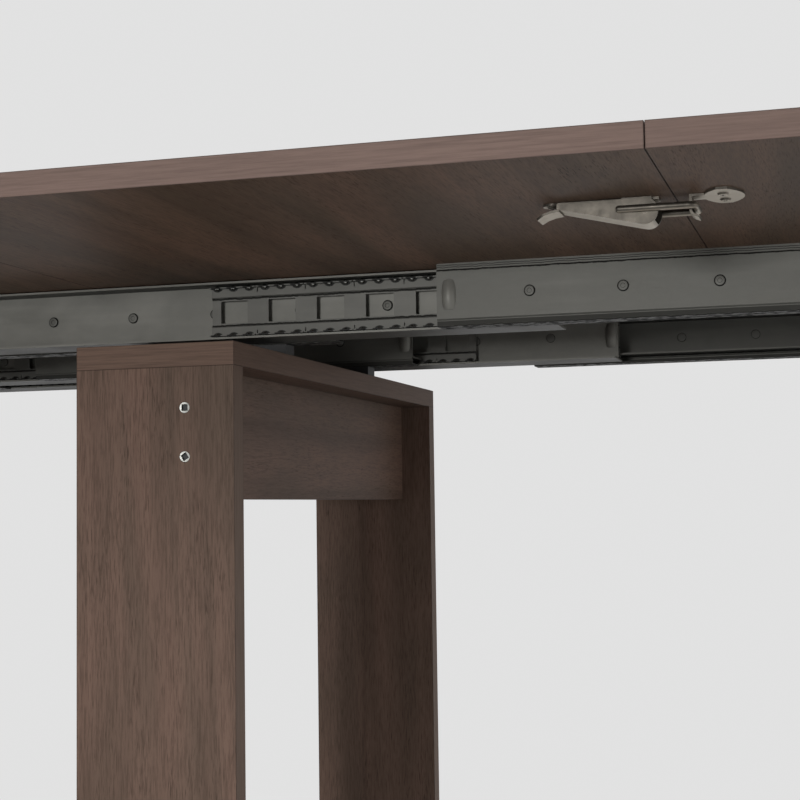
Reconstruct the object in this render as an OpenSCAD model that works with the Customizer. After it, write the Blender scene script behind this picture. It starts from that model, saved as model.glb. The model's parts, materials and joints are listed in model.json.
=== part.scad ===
// Extending oval dining table on two board leg frames.
// Each end of the top rides on a pair of three-member ball-bearing slides,
// and toggle latches clamp each leaf to its end panel.
// X runs along the table, Y across it and Z up. The origin is on the floor under the centre.

/* [Top] */
// Height of the table top above the floor
table_h = 750; // [700:5:780]
// Thickness of the top boards
top_t = 15; // [15:1:25]
// Width of the top across the table
top_w = 1140; // [1000:10:1300]
// Length of the fixed centre panel along the table
centre_len = 500; // [440:10:500]
// Length of each loose leaf along the table
leaf_len = 500; // [460:10:560]
// Straight part of each end panel, next to the leaf
end_straight = 110; // [80:5:200]
// Depth of the half-oval that closes each end panel
end_oval = 390; // [340:10:560]
// Gap left at each seam between two panels
seam_gap = 0.6; // [0.3:0.1:1.5]

/* [Leg frames] */
// Width of each leg board along the table
leg_w = 130; // [90:5:160]
// Thickness of the leg boards
leg_t = 18; // [15:1:28]
// Distance from the table's centre to the inner face of a leg frame
frame_in = 274; // [260:2:290]
// Length of a frame across the table
frame_len = 570; // [560:10:700]
// Thickness of the plate on top of a frame
plate_t = 18; // [15:1:25]
// Thickness of the rail between two legs
rail_t = 18; // [15:1:25]
// Height of the rail between two legs
rail_h = 100; // [60:5:160]
// Distance from a frame's inner face to the middle of its rail
rail_in = 90; // [40:1:100]
// Height of the floor glides
glide_h = 4; // [2:1:8]
// Diameter of the floor glides
glide_d = 14; // [10:1:16]

/* [Slides] */
// Height of a slide
slide_h = 48; // [46:1:54]
// Thickness of the packing strips between a frame and its slides
pad_t = 9; // [5:1:15]
// Distance from the centre line to the middle of the near right slide
slide_near = 188.5; // [180:0.5:200]
// Distance from the centre line to the middle of the far right slide
slide_far = 107.5; // [100:0.5:110]
// Distance from a slide's middle plane to the outer face of its side channels
side_out = 45.5; // [44:0.5:50]
// Width of a side channel's flanges
side_flange = 21.5; // [14:0.5:22]
// Half of the middle member's width
mid_out = 22.5; // [20:0.5:23]
// Sheet thickness of the side channels
side_s = 1.8; // [1.5:0.1:2]
// Sheet thickness of the middle channels and ball rails
mid_s = 1.6; // [1.2:0.1:1.8]
// Length of a base channel
base_len = 400; // [380:10:430]
// Length of a middle member
mid_len = 704; // [680:4:740]
// Length of a carrier channel
carrier_len = 600; // [520:10:620]
// Outer end of a base channel, from the table's centre
base_end = 444; // [436:2:460]
// Outer end of a middle member, from the table's centre
mid_end = 634; // [620:2:650]
// Inner end of a carrier channel, from the table's centre
carrier_start = 548; // [530:2:560]
// Running gap between sliding pieces
run_gap = 0.4; // [0.3:0.1:0.6]

/* [Ball cages] */
// Distance from one cage window to the next
window_pitch = 41; // [36:1:50]
// Length of a cage window
window_len = 23; // [12:1:26]
// Height of a cage window
window_h = 18; // [10:1:19]
// Plain strip at each end of a cage
cage_margin = 7.5; // [5:0.5:12]
// Sheet thickness of the cages
cage_s = 1; // [0.8:0.1:1.2]
// Diameter of the balls
ball_d = 4; // [3.6:0.1:4.2]
// Balls for each cage window, in each row
window_balls = 3; // [2:1:4]
// Width of the slits between groups of balls
slit_w = 0.8; // [0.5:0.1:1.5]
// Windows in a cage on the carrier side
outer_windows = 7; // [4:1:7]
// Windows in a cage on the base side
inner_windows = 13; // [8:1:13]
// Inner end of a carrier-side cage, from the table's centre
outer_cage_start = 350; // [340:2:370]
// Outer end of a base-side cage, from the table's centre
inner_cage_end = 498; // [480:2:510]

/* [Rivets, screws and stops] */
// Diameter of a rivet head
rivet_head_d = 8.6; // [7:0.2:10]
// Height of a rivet head
rivet_head_h = 1.5; // [1:0.1:2]
// Diameter of a rivet shank
rivet_d = 5; // [4:0.1:6]
// Distance between rivets on a middle member
mid_rivet_pitch = 73.4; // [60:0.2:80]
// Distance between rivets on the side channels
side_rivet_pitch = 69.5; // [60:0.5:80]
// Distance from a side channel's stopped end to its first rivet
side_rivet_first = 71.5; // [50:0.5:90]
// Height of the pressed stops
stop_h = 23; // [16:1:26]
// How far a pressed stop stands out
stop_out = 4; // [2:0.1:4]
// Diameter of the screw heads on the leg frames
screw_head_d = 8.4; // [7:0.2:10]
// Diameter of the screw shanks
screw_d = 5; // [4:0.1:5]

/* [Toggle latches] */
// Distance from the centre line to the middle of a latch
latch_in = 434; // [400:2:460]
// Width of a latch lever
lever_w = 20; // [18:1:26]
// Length of a latch lever behind its pivot
lever_len = 53; // [46:1:60]
// Sheet thickness of the latch parts
latch_s = 1.5; // [1.2:0.1:1.8]
// Wire diameter of the latch loop
wire_d = 4.2; // [3:0.1:4.4]
// Distance from the seam to the lever's pivot
pivot_in = 17; // [16:0.5:20]
// Depth of the lever's pivot below the top's underside
pivot_drop = 9; // [9:0.5:12]
// Distance from the lever's pivot to the loop's pivot
crank = 15; // [13:0.5:18]
// Distance from the seam to the strike's tongue
tongue_out = 9; // [7:0.5:14]

/* [Hidden] */
$fn = 48;
walnut = [0.40, 0.30, 0.26];
walnut_leg = [0.36, 0.27, 0.23];
gunmetal = [0.33, 0.34, 0.32];
cage_steel = [0.42, 0.43, 0.40];
zinc = [0.72, 0.71, 0.68];
nickel = [0.58, 0.55, 0.50];
packing = [0.16, 0.16, 0.16];

// Levels and places that follow from the sizes above
under_z = table_h - top_t;
slide_z = under_z - slide_h / 2;
half_h = slide_h / 2;
plate_z = under_z - slide_h - pad_t;
leg_top = plate_z - plate_t;
half_w = top_w / 2;
seam_in = centre_len / 2;
seam_out = seam_in + leaf_len;
frame_half = frame_len / 2;
rail_x = frame_in + rail_in;
slip = 0.1;
flange_screw_d = screw_d - 1;
flange_screw_len = 10;
latch_screw_d = 3.5;
latch_screw_len = 10;

// Slide section: half heights, measured from the slide's middle line
mid_half = half_h - 1;
groove_half = mid_half - mid_s;
ball_gap = 0.1;
rail_half = groove_half - ball_d - 2 * ball_gap;
ball_z = groove_half - ball_gap - ball_d / 2;
shoulder = 1.2;
shoulder_z = rail_half + 1;
side_in = side_out - side_flange;
cage_y = 8;
cage_band = 1.4;
rail_tip = cage_y + cage_band + cage_s + run_gap;
ball_y = rail_tip + 0.8;
cage_ear = ball_y + ball_d / 2 + 1.6;
pocket_d = ball_d + 0.8;
stop_r = 6;
base_stop_in = 7;
carrier_stop_in = 9.5;
rivet_edge = 36;

// Offsets an open path sideways by d, with mitred corners
function unit(v) = v / norm(v);
function left(v) = [-v[1], v[0]];
function bend(a, b, c) = let (m = left(unit(b - a)), n = left(unit(c - b))) (m + n) / (1 + m * n);
function shift_at(p, i) = i == 0 ? left(unit(p[1] - p[0]))
    : i == len(p) - 1 ? left(unit(p[i] - p[i - 1]))
    : bend(p[i - 1], p[i], p[i + 1]);
function sheet(p, s) = concat(p, [for (i = [len(p) - 1 : -1 : 0]) p[i] + s * shift_at(p, i)]);

// Extrudes a section given as [across, up] points along +X
module along_x(length) {
    rotate([90, 0, 90]) linear_extrude(length) children();
}

// Places a slide piece on both slides of the right-hand pair, outer side outwards
module on_slides() {
    translate([0, -slide_near, slide_z]) mirror([0, 1, 0]) children();
    translate([0, slide_far, slide_z]) children();
}

// Turns a slide piece to the inner side of its slide
module inner_side() {
    mirror([0, 1, 0]) children();
}

// Places a side channel's pieces, which are made with the stopped end at x = 0
module on_base_side() {
    on_slides() inner_side() translate([base_end, 0, 0]) mirror([1, 0, 0]) children();
}

module on_carrier_side() {
    on_slides() translate([carrier_start, 0, 0]) children();
}

// Puts the piece made for the right-hand end at the left-hand end
module opposite() {
    rotate([0, 0, 180]) children();
}

// Rivet through a stack of sheets, with its axis along Y and its first head at y = 0
module rivet(grip) {
    rotate([90, 0, 0]) {
        cylinder(h = rivet_head_h * 0.6, d = rivet_head_d);
        translate([0, 0, rivet_head_h * 0.6])
            cylinder(h = rivet_head_h * 0.4, d1 = rivet_head_d, d2 = rivet_head_d * 0.76);
        translate([0, 0, -grip]) cylinder(h = grip, d = rivet_d);
        translate([0, 0, -grip - rivet_head_h * 0.8])
            cylinder(h = rivet_head_h * 0.8, d = rivet_head_d);
    }
}

module rivet_hole(from, to) {
    translate([0, from, 0]) rotate([-90, 0, 0]) cylinder(h = to - from, d = rivet_d + 2 * slip);
}

// Side channel: a rolled C with shouldered edges, its web at the outside
module side_channel(length, top_gap, stop_x) {
    up = half_h - top_gap;
    path = [
        [side_in, -half_h], [side_out - shoulder, -half_h],
        [side_out - shoulder, -shoulder_z - shoulder], [side_out, -shoulder_z],
        [side_out, shoulder_z], [side_out - shoulder, shoulder_z + shoulder],
        [side_out - shoulder, up], [side_in, up]
    ];
    difference() {
        union() {
            along_x(length) polygon(sheet(path, side_s));
            translate([stop_x, side_out, 0]) bulge();
        }
        for (x = side_rivets(length)) translate([x, 0, 0]) rivet_hole(side_in, side_out + 1);
    }
}

// Pressed stop: a barrel-shaped bulge that stands stop_out proud of a web's face at y = 0
module bulge() {
    ends_r = (pow(stop_h / 2, 2) + pow(stop_out, 2)) / (2 * stop_out);
    intersection() {
        translate([0, stop_out - stop_r, -stop_h / 2]) cylinder(h = stop_h, r = stop_r);
        translate([-stop_r, stop_out - ends_r, 0]) rotate([0, 90, 0])
            cylinder(h = 2 * stop_r, r = ends_r, $fn = 96);
        translate([-stop_r, -mid_s / 2, -stop_h / 2]) cube([2 * stop_r, mid_s + stop_out, stop_h]);
    }
}

function side_rivets(length) = [
    for (x = [side_rivet_first : side_rivet_pitch : length - rivet_edge]) x
];

// Ball rail: a narrower channel riveted inside a side channel
module ball_rail(length) {
    back = side_out - side_s;
    path = [[rail_tip, -rail_half], [back, -rail_half], [back, rail_half], [rail_tip, rail_half]];
    difference() {
        along_x(length) polygon(sheet(path, mid_s));
        for (x = side_rivets(length)) translate([x, 0, 0]) rivet_hole(side_in, side_out + 1);
    }
}

module side_rivet_row(length) {
    for (x = side_rivets(length))
        translate([x, side_out, 0]) mirror([0, 1, 0]) rivet(side_s + mid_s);
}

// One of the two channels that are riveted back to back to make a middle member
module middle_channel() {
    path = [[mid_out, -mid_half], [0, -mid_half], [0, mid_half], [mid_out, mid_half]];
    difference() {
        translate([mid_end - mid_len, 0, 0]) along_x(mid_len)
            polygon(sheet([for (i = [3 : -1 : 0]) path[i]], mid_s));
        for (x = mid_rivets()) translate([x, 0, 0]) rivet_hole(-1, mid_s + 1);
    }
}

function mid_rivets() = [
    for (i = [0 : floor((mid_len - 2 * 50) / mid_rivet_pitch)]) mid_end - 64.3 - i * mid_rivet_pitch
];

// Stop near the outer end of a middle member, on its base side
module middle_stop() {
    translate([mid_end - stop_r - 0.5, mid_s, 0]) bulge();
}

function cage_len(windows) = 2 * cage_margin + window_len + (windows - 1) * window_pitch;

// Ball centres along a cage, measured from its end
function ball_row(windows) = let (pitch = window_pitch / window_balls, n = windows * window_balls) [
    for (i = [0 : n - 1]) cage_len(windows) / 2 + (i - (n - 1) / 2) * pitch
];

module cage_balls(windows, d) {
    for (x = ball_row(windows), side = [-1, 1]) translate([x, ball_y, side * ball_z]) sphere(d = d);
}

// Ball cage: a windowed strip with raised bands, and an ear along each edge that holds the balls
module cage(windows) {
    band_z = window_h / 2 + 2.2;
    band_y = cage_y + cage_band;
    ear_z = ball_z + cage_s / 2;
    slit_h = 4.5;
    path = [
        [cage_ear, ear_z], [band_y, ear_z], [band_y, band_z + cage_band], [cage_y, band_z],
        [cage_y, -band_z], [band_y, -band_z - cage_band], [band_y, -ear_z], [cage_ear, -ear_z]
    ];
    difference() {
        along_x(cage_len(windows)) polygon(sheet(path, cage_s));
        for (i = [0 : windows - 1]) translate([cage_margin + i * window_pitch, cage_y - 2, 0]) {
            translate([0, 0, -window_h / 2]) cube([window_len, 5, window_h]);
            if (i > 0) for (side = [-1, 1])
                translate([(window_len - window_pitch - slit_w) / 2, 0, side * ear_z - slit_h])
                    cube([slit_w, cage_ear, 2 * slit_h]);
        }
        cage_balls(windows, pocket_d);
    }
}

// Top boards

module centre_panel() {
    color(walnut) difference() {
        translate([-seam_in + seam_gap / 2, -half_w, under_z])
            cube([centre_len - seam_gap, top_w, top_t]);
        for (turn = [0, 180]) rotate([0, 0, turn]) centre_screw_places() flange_pilot();
    }
}

module leaf_panel() {
    color(walnut) difference() {
        translate([seam_in + seam_gap / 2, -half_w, under_z])
            cube([leaf_len - seam_gap, top_w, top_t]);
        at_latches() for (x = base_screw_xs()) translate([x, 0, 0]) latch_pilot();
    }
}

module end_panel() {
    start = seam_out + seam_gap / 2;
    bow = seam_out + end_straight;
    rim = [for (i = [0 : 60]) let (a = -90 + 3 * i) [bow + end_oval * cos(a), half_w * sin(a)]];
    color(walnut) difference() {
        translate([0, 0, under_z]) linear_extrude(top_t)
            polygon(concat([[start, half_w], [start, -half_w]], rim));
        at_latches() for (y = strike_screw_ys()) translate([tongue_out + 20, y, 0]) latch_pilot();
        carrier_screw_places() flange_pilot();
    }
}

// Pilot holes in the boards, from the underside up
module flange_pilot() {
    translate([0, 0, -1]) cylinder(h = flange_screw_len + 1.5, d = flange_screw_d + 2 * slip);
}

module latch_pilot() {
    translate([0, 0, -1]) cylinder(h = latch_screw_len + 1.5, d = latch_screw_d + 2 * slip);
}

// Leg frames

module frame_plate() {
    color(walnut_leg) difference() {
        translate([frame_in, -frame_half, leg_top]) cube([leg_w, frame_len, plate_t]);
        plate_screws(slip, true);
        bolt_places() channel_bolt_shank(slip);
    }
}

module leg(side) {
    y = side < 0 ? -frame_half : frame_half - leg_t;
    color(walnut_leg) difference() {
        translate([frame_in, y, glide_h]) cube([leg_w, leg_t, leg_top - glide_h]);
        rail_screws(slip, true);
        plate_screws(slip, true);
    }
}

module frame_rail() {
    color(walnut_leg) difference() {
        translate([rail_x - rail_t / 2, -frame_half + leg_t, leg_top - rail_h])
            cube([rail_t, frame_len - 2 * leg_t, rail_h]);
        rail_screws(slip, true);
    }
}

// Countersunk screw along +Z with the top of its head at z = 0
module wood_screw(length, grow, hole) {
    head_h = 3;
    translate([0, 0, -length - (hole ? 1 : 0)]) cylinder(h = length, d = screw_d + 2 * grow);
    translate([0, 0, -head_h]) cylinder(h = head_h + (hole ? 1 : 0), d = screw_head_d + 2 * grow);
}

module rail_screws(grow, hole) {
    for (side = [-1, 1], drop = [0.31, 0.68])
        translate([rail_x, side * frame_half, leg_top - rail_h * drop])
            rotate([-90 * side, 0, 0]) wood_screw(45, grow, hole);
}

module plate_screws(grow, hole) {
    for (side = [-1, 1], x = [0.25, 0.5])
        translate([frame_in + leg_w * x, side * (frame_half - leg_t / 2), plate_z])
            wood_screw(45, grow, hole);
}

module frame_screws() {
    color(zinc) for (turn = [0, 180]) rotate([0, 0, turn]) {
        rail_screws(0, false);
        plate_screws(0, false);
    }
}

module floor_glides() {
    color(packing) for (turn = [0, 180]) rotate([0, 0, turn])
        for (x = [0.2, 0.8], side = [-1, 1])
            translate([frame_in + leg_w * x, side * (frame_half - leg_t / 2), 0])
                cylinder(h = glide_h, d = glide_d);
}

// Packing strips and screws that carry the base channels on the frame plates

module bolt_places() {
    for (x = [0.2, 0.84]) {
        translate([frame_in + leg_w * x, -slide_near + side_out - side_flange / 2, leg_top])
            children();
        translate([frame_in + leg_w * x, slide_far - side_out + side_flange / 2, leg_top])
            children();
    }
}

module channel_pads() {
    pad_w = side_flange - 1;
    color(packing) for (turn = [0, 180]) rotate([0, 0, turn]) difference() {
        union() {
            translate([frame_in + 4, -slide_near + side_in + 1, plate_z])
                cube([leg_w - 8, pad_w, pad_t]);
            translate([frame_in + 4, slide_far - side_out, plate_z])
                cube([leg_w - 8, pad_w, pad_t]);
        }
        bolt_places() channel_bolt_shank(slip);
    }
}

// Shank of a screw that runs down through a channel's lower flange and its packing strip
module channel_bolt_shank(grow) {
    length = side_s + pad_t + plate_t - 4;
    translate([0, 0, plate_t + pad_t + side_s - length - grow])
        cylinder(h = length + 2 * grow, d = screw_d + 2 * grow);
}

module channel_bolts() {
    color(zinc) for (turn = [0, 180]) rotate([0, 0, turn]) bolt_places() {
        channel_bolt_shank(0);
        translate([0, 0, plate_t + pad_t + side_s]) cylinder(h = 2.4, d = 9);
    }
}

// Slides: base side, fixed to the frames

module base_channels() {
    color(gunmetal) difference() {
        on_base_side() side_channel(base_len, run_gap, base_stop_in);
        bolt_places() channel_bolt_shank(slip);
        centre_screw_places() translate([0, 0, -6]) cylinder(h = 12, d = flange_screw_d + 2 * slip);
    }
}

module base_rails() {
    color(gunmetal) on_base_side() ball_rail(base_len);
}

module base_rivets() {
    color(gunmetal) for (turn = [0, 180]) rotate([0, 0, turn])
        on_base_side() side_rivet_row(base_len);
}

// Screws up through the flanges into the boards, placed at the underside of the top
module flange_screws(places) {
    for (x = places, y = [-slide_near + side_out - side_flange / 2,
                          slide_far - side_out + side_flange / 2])
        translate([x, y, under_z]) children();
}

module centre_screw_places() {
    start = base_end - base_len;
    flange_screws([start + 30, seam_in - 30]) children();
}

// Screw with its shank up into a board and its head under a flange that lies gap below it
module up_screw(gap) {
    translate([0, 0, -side_s - gap])
        cylinder(h = side_s + gap + flange_screw_len, d = flange_screw_d);
    translate([0, 0, -side_s - gap - 2]) cylinder(h = 2, d = 8);
}

module centre_panel_screws() {
    color(zinc) for (turn = [0, 180]) rotate([0, 0, turn]) centre_screw_places() up_screw(run_gap);
}

// Slides: middle members

module middle_base_channels() {
    color(gunmetal) on_slides() inner_side() {
        middle_channel();
        middle_stop();
    }
}

module middle_carrier_channels() {
    color(gunmetal) on_slides() middle_channel();
}

module middle_rivets() {
    color(gunmetal) on_slides() for (x = mid_rivets())
        translate([x, mid_s, 0]) mirror([0, 1, 0]) rivet(2 * mid_s);
}

// Slides: ball cages and their balls

module on_inner_cages() {
    on_slides() inner_side() translate([inner_cage_end - cage_len(inner_windows), 0, 0]) children();
}

module on_outer_cages() {
    on_slides() translate([outer_cage_start, 0, 0]) children();
}

module inner_cages() {
    color(cage_steel) on_inner_cages() cage(inner_windows);
}

module outer_cages() {
    color(cage_steel) on_outer_cages() cage(outer_windows);
}

module inner_balls() {
    color(zinc) on_inner_cages() cage_balls(inner_windows, ball_d);
}

module outer_balls() {
    color(zinc) on_outer_cages() cage_balls(outer_windows, ball_d);
}

// Slides: carrier side, fixed under a leaf's end panel

module carrier_screw_places() {
    for (x = [seam_out + 60, carrier_start + carrier_len - 40],
         y = [-slide_near - side_out + side_flange / 2, slide_far + side_out - side_flange / 2])
        translate([x, y, under_z]) children();
}

module carrier_channels() {
    color(gunmetal) difference() {
        on_carrier_side() side_channel(carrier_len, 0, carrier_stop_in);
        carrier_screw_places() translate([0, 0, -6]) cylinder(h = 12, d = flange_screw_d + 2 * slip);
    }
}

module carrier_rails() {
    color(gunmetal) on_carrier_side() ball_rail(carrier_len);
}

module carrier_rivets() {
    color(gunmetal) on_carrier_side() side_rivet_row(carrier_len);
}

module panel_screws() {
    color(zinc) carrier_screw_places() up_screw(0);
}

// Toggle latches, drawn with the seam at x = 0 and the top's underside at z = 0

wall_y = lever_w / 2;
end_r = pivot_drop - 1;
pivot_d = 3;
hook_w = 13;
loop_y = wall_y + wire_d / 2 + 0.4;
loop_x = -pivot_in - crank;
loop_z = -pivot_drop + 1.5;
bar_x = tongue_out + latch_s + wire_d / 2 + 0.3;
latch_ys = [-latch_in, latch_in];

module at_latch(y) {
    translate([seam_out, y, under_z]) children();
}

module at_latches() {
    for (y = latch_ys) at_latch(y) children();
}

// Extrudes a side view given as [x, z] points across a width w centred on y = 0
module across(w) {
    translate([0, w / 2, 0]) rotate([90, 0, 0]) linear_extrude(w) children();
}

module latch_base() {
    ear_w = lever_w - 2 * latch_s - 1;
    tail = -pivot_in - lever_len - 10;
    difference() {
        union() {
            translate([tail + 6, -5, -latch_s]) cube([lever_len + 12, 10, latch_s]);
            translate([tail + 6, 0, -latch_s]) cylinder(h = latch_s, d = 12);
            translate([-pivot_in - 14, -ear_w / 2, -latch_s]) cube([18, ear_w, latch_s]);
            for (side = [-1, 1]) translate([0, side * (ear_w - latch_s) / 2, 0]) across(latch_s) {
                translate([-pivot_in - 4, -pivot_drop]) square([8, pivot_drop - 0.5]);
                translate([-pivot_in, -pivot_drop]) circle(r = 4);
            }
        }
        for (x = base_screw_xs()) translate([x, 0, -5])
            cylinder(h = 6, d = latch_screw_d + 2 * slip);
        translate([-pivot_in, 20, -pivot_drop]) rotate([90, 0, 0])
            cylinder(h = 40, d = pivot_d + slip);
    }
}

function base_screw_xs() = [-pivot_in - lever_len - 4, -pivot_in - 10];

module latch_lever() {
    tail_x = -pivot_in - lever_len;
    difference() {
        union() {
            intersection() {
                across(lever_w) hull() {
                    translate([-pivot_in, -pivot_drop]) circle(r = end_r);
                    translate([tail_x, -4.6]) square([1, 2.6]);
                }
                translate([-100, -50, -50]) cube([200, 100, 49]);
            }
            translate([tail_x + 1, 0, -4.6]) finger_tab();
        }
        across(lever_w - 2 * latch_s) {
            hull() {
                translate([-pivot_in, -pivot_drop]) circle(r = end_r - latch_s);
                translate([tail_x - 1, -3.1]) square([1, 6]);
                translate([-pivot_in + 2, 0]) square([end_r, 2]);
            }
            // Room for the base's ears as the lever turns
            translate([-pivot_in, -pivot_drop - 0.7 * end_r]) square([end_r + 1, 2 * end_r]);
        }
        translate([-pivot_in, 20, -pivot_drop]) rotate([90, 0, 0])
            cylinder(h = 40, d = pivot_d + slip);
        translate([loop_x, 20, loop_z]) rotate([90, 0, 0]) cylinder(h = 40, d = wire_d + slip);
    }
    // Pivot pin, flush with both walls
    translate([-pivot_in, wall_y, -pivot_drop]) rotate([90, 0, 0])
        cylinder(h = lever_w, d = pivot_d);
}

// Finger tab that curls down at the lever's tail
module finger_tab() {
    rise = [[0, 0], [-5, -0.6], [-10, -2.2], [-14, -4.6]];
    intersection() {
        across(18) polygon(sheet(rise, latch_s));
        union() {
            translate([-9, 0, -10]) cylinder(h = 20, d = 18);
            translate([-9, -9, -10]) cube([12, 18, 20]);
        }
    }
}

// Wire loop: two arms and an end bar, with both ends turned into the lever's walls
module latch_loop() {
    arm = bar_x - loop_x;
    r = wire_d / 2;
    bend_r = 4;
    for (side = [-1, 1]) {
        translate([loop_x, side * loop_y, loop_z]) {
            rotate([0, 90, 0]) cylinder(h = arm - bend_r, r = r);
            sphere(r = r);
            rotate([90 * side, 0, 0]) cylinder(h = loop_y - wall_y + latch_s + 0.6, r = r);
        }
        translate([bar_x - bend_r, side * (loop_y - bend_r), loop_z])
            rotate([0, 0, side > 0 ? 0 : -90]) rotate_extrude(angle = 90)
                translate([bend_r, 0]) circle(r = r);
    }
    translate([bar_x, loop_y - bend_r, loop_z]) rotate([90, 0, 0])
        cylinder(h = 2 * (loop_y - bend_r), r = r);
}

// Strike: a leaf-shaped plate with a neck and a hook that curls under the loop's end
module strike() {
    plate_x = tongue_out + 20;
    hook = [
        [plate_x, 0], [tongue_out, 0], [tongue_out, -10], [tongue_out + 0.8, -11.9],
        [tongue_out + 2.4, -13.2], [tongue_out + 5.5, -14.4]
    ];
    difference() {
        union() {
            translate([plate_x, 0, -latch_s]) intersection() {
                translate([-20, 0, 0]) cylinder(h = latch_s, r = 32, $fn = 96);
                translate([20, 0, 0]) cylinder(h = latch_s, r = 32, $fn = 96);
                translate([0, 0, latch_s / 2]) cube([80, 44, 6], center = true);
            }
            across(hook_w) polygon(sheet(hook, latch_s));
        }
        for (y = strike_screw_ys()) translate([plate_x, y, -5])
            cylinder(h = 6, d = latch_screw_d + 2 * slip);
    }
}

function strike_screw_ys() = [-9, 9];

// Pan-head screw up into the board
module latch_screw() {
    translate([0, 0, -latch_s]) cylinder(h = latch_s + latch_screw_len, d = latch_screw_d);
    translate([0, 0, -latch_s - 1.2]) cylinder(h = 1.2, d1 = 5.4, d2 = 7);
}

module latch_bases() {
    color(nickel) at_latches() latch_base();
}

module strikes() {
    color(nickel) at_latches() strike();
}

module latch_screws() {
    color(zinc) at_latches() {
        for (x = base_screw_xs()) translate([x, 0, 0]) latch_screw();
        for (y = strike_screw_ys()) translate([tongue_out + 20, y, 0]) latch_screw();
    }
}

module lever_at(y) {
    color(nickel) at_latch(y) latch_lever();
}

module loop_at(y) {
    color(nickel) at_latch(y) latch_loop();
}

centre_panel();
frame_plate();  // right_frame_plate
leg(-1);  // right_near_leg
leg(1);  // right_far_leg
frame_rail();  // right_frame_rail
opposite() frame_plate();  // left_frame_plate
opposite() leg(1);  // left_near_leg
opposite() leg(-1);  // left_far_leg
opposite() frame_rail();  // left_frame_rail
frame_screws();
floor_glides();
channel_pads();
channel_bolts();
centre_panel_screws();
base_channels();  // right_base_channels
base_rails();  // right_base_rails
opposite() base_channels();  // left_base_channels
opposite() base_rails();  // left_base_rails
base_rivets();
middle_base_channels();  // right_middle_base_channels
middle_carrier_channels();  // right_middle_carrier_channels
middle_rivets();  // right_middle_rivets
opposite() middle_base_channels();  // left_middle_base_channels
opposite() middle_carrier_channels();  // left_middle_carrier_channels
opposite() middle_rivets();  // left_middle_rivets
inner_cages();  // right_inner_cages
outer_cages();  // right_outer_cages
opposite() inner_cages();  // left_inner_cages
opposite() outer_cages();  // left_outer_cages
inner_balls();  // right_inner_balls
outer_balls();  // right_outer_balls
opposite() inner_balls();  // left_inner_balls
opposite() outer_balls();  // left_outer_balls
leaf_panel();  // right_leaf_panel
end_panel();  // right_end_panel
carrier_channels();  // right_carrier_channels
carrier_rails();  // right_carrier_rails
carrier_rivets();  // right_carrier_rivets
panel_screws();  // right_panel_screws
latch_bases();  // right_latch_bases
strikes();  // right_strikes
latch_screws();  // right_latch_screws
opposite() leaf_panel();  // left_leaf_panel
opposite() end_panel();  // left_end_panel
opposite() carrier_channels();  // left_carrier_channels
opposite() carrier_rails();  // left_carrier_rails
opposite() carrier_rivets();  // left_carrier_rivets
opposite() panel_screws();  // left_panel_screws
opposite() latch_bases();  // left_latch_bases
opposite() strikes();  // left_strikes
opposite() latch_screws();  // left_latch_screws
lever_at(-latch_in);  // right_near_lever
loop_at(-latch_in);  // right_near_loop
lever_at(latch_in);  // right_far_lever
loop_at(latch_in);  // right_far_loop
opposite() lever_at(latch_in);  // left_near_lever
opposite() loop_at(latch_in);  // left_near_loop
opposite() lever_at(-latch_in);  // left_far_lever
opposite() loop_at(-latch_in);  // left_far_loop
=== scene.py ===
"""Looks of the extending oval dining table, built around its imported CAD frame.

The construction comes from the frame and stays as it is. This script gives every piece
its finish, and rebuilds the small parts whose detail the solids leave out: the rivets,
the screws and the stops of the slides. It then sets up the camera and a pale studio.
"""

import json
import logging
import math
from collections.abc import Callable
from dataclasses import dataclass, field, replace
from enum import Enum

import bpy
from mathutils import Matrix, Vector

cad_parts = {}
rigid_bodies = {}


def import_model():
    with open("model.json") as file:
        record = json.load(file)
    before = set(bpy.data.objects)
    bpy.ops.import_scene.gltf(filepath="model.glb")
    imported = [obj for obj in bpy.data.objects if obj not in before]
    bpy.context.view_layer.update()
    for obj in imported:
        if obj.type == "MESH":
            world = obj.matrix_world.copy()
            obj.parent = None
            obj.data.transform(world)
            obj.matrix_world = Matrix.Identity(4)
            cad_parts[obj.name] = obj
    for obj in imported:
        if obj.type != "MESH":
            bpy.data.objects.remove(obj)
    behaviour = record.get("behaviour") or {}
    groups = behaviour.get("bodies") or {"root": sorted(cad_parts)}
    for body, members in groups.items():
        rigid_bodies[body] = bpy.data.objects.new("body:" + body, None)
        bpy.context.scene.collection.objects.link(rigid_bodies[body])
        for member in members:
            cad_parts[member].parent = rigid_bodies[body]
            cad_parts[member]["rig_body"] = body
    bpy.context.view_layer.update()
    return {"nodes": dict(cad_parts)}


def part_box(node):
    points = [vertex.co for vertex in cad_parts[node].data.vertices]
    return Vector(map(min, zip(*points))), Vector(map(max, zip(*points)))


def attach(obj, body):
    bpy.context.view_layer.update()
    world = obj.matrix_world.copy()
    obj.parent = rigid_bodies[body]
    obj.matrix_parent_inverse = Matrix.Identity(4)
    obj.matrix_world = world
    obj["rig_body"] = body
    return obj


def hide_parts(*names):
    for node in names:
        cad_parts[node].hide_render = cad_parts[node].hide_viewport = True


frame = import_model()
SIDES = ("right", "left")
ENDS = ("near", "far")
CORNER_DIGITS = 6
ROW_DIGITS = 5
SMOOTH_BELOW = math.radians(32.0)
Colour = tuple[float, float, float]
Point = tuple[float, float, float]
Socket = bpy.types.NodeSocket
Material = bpy.types.Material
Piece = bpy.types.Object
Face = bpy.types.MeshPolygon
log = logging.getLogger("table")


class Axis(Enum):
    """One of the frame's three directions."""

    X = (1.0, 0.0, 0.0)
    Y = (0.0, 1.0, 0.0)
    Z = (0.0, 0.0, 1.0)


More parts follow.
